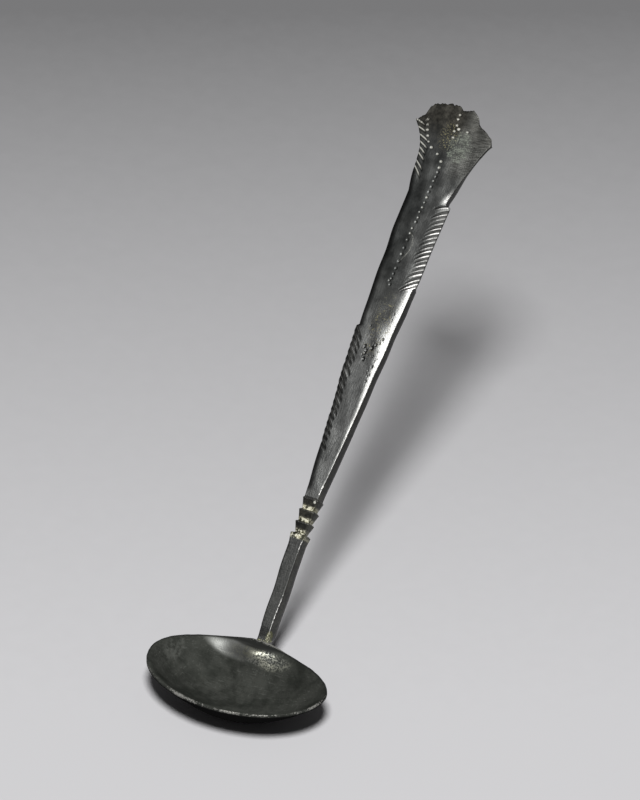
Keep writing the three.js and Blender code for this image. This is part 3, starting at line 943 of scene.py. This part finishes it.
def handle_silver():
    """Dark tarnish, thickest on the upper blade, over polished and pitted silver, with painted
    shade on the side faces and edges and painted highlights on the ridge, the collars' edges and
    the fins' lands.
    """
    material, place = begin_material("tarnished_handle_silver")
    axes = place.axes()
    along, across, side = [place.look(name) for name in ("along", "across", "side")]
    bevel = place.look("bevel")
    unrolled = place.node("ShaderNodeCombineXYZ", {}, {0: across, 1: along, 2: 4 * side})
    clouds = unrolled.grain(6, 3)
    patches = unrolled.grain(1.6, 5, 0.7)
    flecks = unrolled.grain(0.4, 3, 0.7)
    grit = place.grain(0.55, 4, 0.7)
    scratches = unrolled.stretched((1.0, 0.12, 1.0)).grain(0.3, 4, 0.6)
    cross_scratches = unrolled.stretched((0.12, 1.0, 1.0)).grain(0.3, 3, 0.6)

    # Where each look lies
    on_fin = along.over(96.5, 98.5) * (1 - along.over(119, 120.5))
    polished = bevel.over(0.15, 0.9) * (1 - along.over(121.5, 124.5)) * (1 - 0.7 * on_fin)
    left_part = 1 - (across + 1.2 * clouds).over(-0.5, 3.5)
    blackened = along.over(80, 98) * (0.6 + 0.4 * left_part) * (1 - 0.8 * polished)
    on_shank = 1 - along.over(27, 28)
    scuffed = on_shank * (1 - side) * (0.6 * cross_scratches + 0.4 * flecks).over(0.47, 0.6)
    collars = along.over(27.5, 28.5) * (1 - along.over(37.8, 38.2))
    tail_right = along.over(124, 131) * (across + 2 * patches).over(1.5, 4.5)
    broken_end = (along + 5 * patches).over(136, 143)
    tail_crust = near((along, across), (134.3, 3.2), (4.8, 3.8), 0.95)
    tail_crust = (tail_crust * (1.2 * flecks + 1.6 * patches)).over(0.8, 1.5)
    brown_specks = near((along, across), (136.5, -0.8), (3.6, 2.4), 0.8) * flecks.over(0.55, 0.63)
    blade_specks = near((along, across), (85, 0.9), (8, 2.6), 0.6)
    blade_specks = blade_specks * (0.5 * flecks + 0.5 * patches).over(0.56, 0.62)
    root_crust = near(axes, (0.6, 17.6, 10.6), (1.3, 2.2, 2.4), 0.9)
    root_crust = (root_crust * (grit + flecks)).over(0.75, 1.0)
    root_flecks = near(axes, (0.5, 16.9, 10.9), (0.9, 1.2, 1.4), 0.6) * grit.over(0.5, 0.6)
    waists = place.look("ring_crust")
    ring_crust = waists * near((across,), (0.2,), (2.1,), 0.5) * (1 - 0.45 * side)
    ring_crust = ring_crust * (grit + patches).over(0.93, 1.06)
    # Pale dirt in the dots, grooves and scratch, and the painted glint on the top collar
    pale = (place.look("pale") + 0.4 * flecks - 0.2).over(0.15, 0.9)
    marked = place.look("dark") * (1 - 0.3 * flecks)
    # On the handle this look holds only painted highlights: on the shank's ridge, the collars'
    # upper edges and the lands beside filed strokes
    wear_and_glint = (place.look("wear_and_glint") + 0.9 * flecks - 0.55).over(0.1, 0.75)

    # Their colours, from the metal through tarnish, dirt, painted shade on the edges and sides
    # and painted highlights up to the crust on top
    metal = (0.4 * clouds + 0.3 * patches + 0.3 * scratches).over(0.3, 0.7)
    tarnish = (0.6 * clouds + 0.4 * patches).over(0.3, 0.7)
    mottled = (0.5 * grit + 0.5 * place.grain(1.8, 4, 0.7)).over(0.42, 0.62)
    colour = layered(metal.colours((0.088, 0.09, 0.088, 1), (0.17, 0.172, 0.167, 1)), [
        (blackened + 0.45 * on_shank,
         tarnish.colours((0.04, 0.042, 0.041, 1), (0.078, 0.08, 0.077, 1))),
        (0.55 * scuffed, (0.16, 0.16, 0.15, 1)),
        (0.75 * collars,
         patches.over(0.4, 0.65).colours((0.035, 0.034, 0.03, 1), (0.11, 0.105, 0.08, 1))),
        (0.6 * tail_right,
         cross_scratches.over(0.35, 0.65).colours((0.1, 0.1, 0.09, 1), (0.26, 0.26, 0.24, 1))),
        (polished * (0.1 + 1.3 * patches), (0.32, 0.317, 0.305, 1)),
        (marked, (0.02, 0.02, 0.019, 1)),
        # Painted shade: the side faces are painted near black, darker still from the neck up
        (0.95 * side, mottled.colours((0.012, 0.012, 0.011, 1), (0.06, 0.06, 0.047, 1))),
        (0.55 * side * along.over(38, 46), (0.006, 0.006, 0.005, 1)),
        (0.8 * broken_end * (1 - 0.6 * tail_right),
         patches.over(0.35, 0.65).colours((0.03, 0.028, 0.023, 1), (0.075, 0.07, 0.058, 1))),
        (0.65 * tail_crust, (0.5 * patches + 0.5 * flecks).over(0.48, 0.58).colours(
            (0.03, 0.034, 0.03, 1), (0.22, 0.245, 0.2, 1))),
        (0.8 * (brown_specks + blade_specks), (0.26, 0.235, 0.12, 1)),
        (wear_and_glint, (0.55, 0.54, 0.52, 1)),
        (pale, (0.52, 0.515, 0.46, 1)),
        (root_crust, (0.16, 0.16, 0.085, 1)),
        (0.6 * waists * (1 - 0.5 * side), (0.07, 0.068, 0.035, 1)),
        (ring_crust + root_flecks,
         grit.over(0.4, 0.6).colours((0.33, 0.31, 0.17, 1), (0.75, 0.73, 0.6, 1)))])

    crust = ring_crust + root_flecks + root_crust
    dull = (pale + crust + 0.7 * tail_crust + brown_specks + blade_specks).over(0, 1)
    roughness = (0.45 * patches + 0.2 * scratches + 0.5 * dull + 0.35 * on_fin * bevel
                 - 0.08 * polished - 0.1 * wear_and_glint)
    height = (0.45 * scratches + 0.25 * cross_scratches
              + (0.4 * flecks + 0.4 * patches) * (1 + polished))
    return finish_material(
        material,
        Base_Color=colour,
        Metallic=(1 - 0.9 * dull) * (1 - 0.8 * side),
        Roughness=roughness.between(0.27, 0.72),
        Specular_IOR_Level=0.1,
        Normal=(height * (1 - 0.6 * blackened - 0.3 * broken_end)).relief(0.07))


handle.data.materials.append(handle_silver())
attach(handle, "root")
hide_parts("handle")


# The solder
# Hard solder holds the tongue under the lip. It was melted in as a thin film and stands out
# as a small rounded fillet round the tongue and as beads at the foot of the shank.

fillet_radius = 0.34
fillet_drop = 0.75
fillet_rings = 90
film_overlap = 0.05
bead_radius = 0.2
side_bead_radius = 0.3
bead_rings = 24


def rod(line, radii, sides=10):
    """Points and faces of a round bead with a radius at each point of its line."""
    along = np.gradient(line, axis=0)
    along /= np.linalg.norm(along, axis=1)[:, None]
    beside = np.cross(along, [0.0, 0.0, 1.0])
    beside /= np.linalg.norm(beside, axis=1)[:, None]
    above = np.cross(beside, along)
    angle = np.arange(sides) / sides * 2 * np.pi
    circle = (np.cos(angle)[None, :, None] * beside[:, None]
              + np.sin(angle)[None, :, None] * above[:, None])
    points = line[:, None] + circle * radii[:, None, None]
    return points.reshape(-1, 3), closed_tube(len(line), sides)


def closed_tube(rings, around):
    """Faces of a tube with both ends closed."""
    last = (rings - 1) * around
    return tube_faces(rings, around) + [
        list(range(around))[::-1], list(range(last, last + around))]


def lumpy(radius, count, seed):
    """Radii that swell and shrink like beads of melted metal, and close at both ends."""
    share = np.linspace(0, 1, count)
    swell = 1 + 0.3 * unevenness(seed, 0.22, share)
    return radius * np.clip(swell, 0.5, 1.4) * np.sqrt(np.clip(1 - (2 * share - 1) ** 8, 0.02, 1))


# The tongue's outline from the root round its front: half widths and y, then both sides
tongue_half = [
    (shank_root_width / 2 + 0.2, root_y - 0.1), (tongue_half_width, root_y - tongue_shoulder)]
tongue_half += [
    (tongue_half_width * (1 - t ** 2), tongue_front + tongue_corner * (1 - t) ** 2)
    for t in np.linspace(0, 1, 9)]
tongue_outline = np.array(
    [(handle_offset + half, y) for half, y in tongue_half]
    + [(handle_offset - half, y) for half, y in tongue_half[-2::-1]])
fillet_line = np.column_stack([
    along_line(tongue_outline, np.linspace(0, 1, fillet_rings)),
    np.full(fillet_rings, lip_underside - fillet_radius * fillet_drop)])

# The film reaches a little into the lip and the tongue
outline_count = len(tongue_outline)
film = np.vstack([
    np.column_stack([tongue_outline, np.full(outline_count, height)])
    for height in (tongue_top - film_overlap, lip_underside + film_overlap)])

# One bead lies across the shank's foot, and one runs down its right side
seam = np.linspace(-1, 1, bead_rings)[:, None] * [shank_root_width / 2, 0, 0]
seam += [handle_offset, root_y + 0.02, rim_height - 0.1]
foot_right = handle_offset + shank_root_width / 2
side_seam = np.array([
    (foot_right + 0.05, root_y + 0.1 + 2.2 * t, rim_height - 0.3 - 1.2 * t)
    for t in np.linspace(-0.1, 1, bead_rings)])

solder_points, solder_faces = np.zeros((0, 3)), []
for points, faces in (
        rod(fillet_line, lumpy(fillet_radius, fillet_rings, 71)),
        (film, closed_tube(2, outline_count)),
        rod(seam, lumpy(bead_radius, bead_rings, 72)),
        rod(side_seam, lumpy(side_bead_radius, bead_rings, 73))):
    solder_faces += [[len(solder_points) + corner for corner in face] for face in faces]
    solder_points = np.vstack([solder_points, points])
solder = metal_piece("solder_fillet", solder_points, solder_faces, {})
remesh = solder.modifiers.new("melted", "REMESH")
remesh.mode = "VOXEL"
remesh.voxel_size = 0.00009
remesh.use_smooth_shade = True
smooth = solder.modifiers.new("flow", "SMOOTH")
smooth.factor = 0.5
smooth.iterations = 4


def hard_solder():
    """Grey solder gone dull, with yellow-green corrosion and a few bright lumps."""
    grey, yellow_green = (0.16, 0.16, 0.15, 1), (0.36, 0.37, 0.2, 1)
    bright_solder = (0.62, 0.61, 0.52, 1)

    material, place = begin_material("dull_hard_solder")
    patches = place.grain(0.9, 4, 0.7)
    flecks = place.grain(0.25, 3, 0.7)
    colour = patches.over(0.4, 0.62).colours(grey, yellow_green)
    return finish_material(
        material,
        Base_Color=flecks.over(0.55, 0.7).colours(colour, bright_solder),
        Metallic=0.9 - 0.5 * patches,
        Roughness=patches.between(0.35, 0.7),
        Normal=(0.6 * flecks + 0.4 * patches).relief(0.1))


solder.data.materials.append(hard_solder())
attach(solder, "root")
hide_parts("solder_film")


# The studio
# A plain pale floor, painted darker away from the camera as painted shade, one soft lamp above on
# the camera's side, and an even sky. The camera stands far off behind a long lens.

# Sizes here are in metres
camera_azimuth = math.radians(27.8)
camera_elevation = math.radians(36)
view_height = 0.2
aim_right, aim_up = 0.02175, 0.06925
aim_forward = -0.001
floor_reach = 4.0
lamp_distance = 3.0
lamp_direction = np.array([0.215, -0.435, 0.875])
lamp_target = np.array([0, 0.04, 0.03])


def stand(thing, target, back, distance):
    """Puts a camera or a lamp at a distance back from its target, and turns it to it."""
    thing.location = target + back * distance
    thing.rotation_mode = "QUATERNION"
    thing.rotation_quaternion = Vector(-back).to_track_quat("-Z", "Y")


right_axis = np.array([math.cos(camera_azimuth), math.sin(camera_azimuth), 0])
away_axis = np.array([-math.sin(camera_azimuth), math.cos(camera_azimuth), 0])
back_axis = -away_axis * math.cos(camera_elevation) + [0, 0, math.sin(camera_elevation)]
up_axis = away_axis * math.sin(camera_elevation) + [0, 0, math.cos(camera_elevation)]
aim = np.array([0, aim_forward, rim_height / 1000])
aim = aim + aim_right * right_axis + aim_up * up_axis
camera_data = bpy.data.cameras.new("camera")
camera_data.lens = 1000
camera_data.sensor_width = 36
camera_distance = view_height * camera_data.lens / camera_data.sensor_width
camera_data.clip_start = 0.1
camera_data.clip_end = camera_distance * 4
camera = add_object("camera", camera_data)
stand(camera, aim, back_axis, camera_distance)
bpy.context.scene.camera = camera

floor_mesh = bpy.data.meshes.new("floor")
floor_mesh.from_pydata(
    [(x * floor_reach, y * floor_reach, 0) for x, y in ((-1, -1), (1, -1), (1, 1), (-1, 1))],
    [], [(0, 1, 2, 3)])
floor = add_object("floor", floor_mesh)


def floor_paint():
    """Pale matt grey, painted darker away from the camera as painted shade for the light's
    fall-off with distance from the lamp.
    """
    pale_grey, far_grey = (0.602, 0.598, 0.611, 1), (0.2, 0.199, 0.203, 1)
    nearest = -60

    material, place = begin_material("pale_floor")
    x, y, _ = place.axes()
    away = float(away_axis[0]) * x + float(away_axis[1]) * y
    away = away.math("MAXIMUM", away, nearest)
    # Painted shade: the colour darkens with distance away from the camera
    far = 0.001 * away + 0.0000075 * away ** 2
    mottling = place.grain(5, 3) - 0.5
    return finish_material(
        material,
        Base_Color=(far + 0.06 * mottling).colours(pale_grey, far_grey),
        Roughness=0.9)


floor_mesh.materials.append(floor_paint())

lamp_data = bpy.data.lights.new("soft_lamp", "AREA")
lamp_data.shape = "DISK"
lamp_data.size = 0.75
lamp_data.energy = 101
stand(add_object("soft_lamp", lamp_data), lamp_target, lamp_direction, lamp_distance)

world = bpy.data.worlds.new("even_sky")
bpy.context.scene.world = world
world.use_nodes = True
sky = world.node_tree.nodes["Background"]
sky.inputs["Color"].default_value = (1, 0.99, 1, 1)
sky.inputs["Strength"].default_value = 0.06

bpy.context.scene.view_settings.view_transform = "Standard"
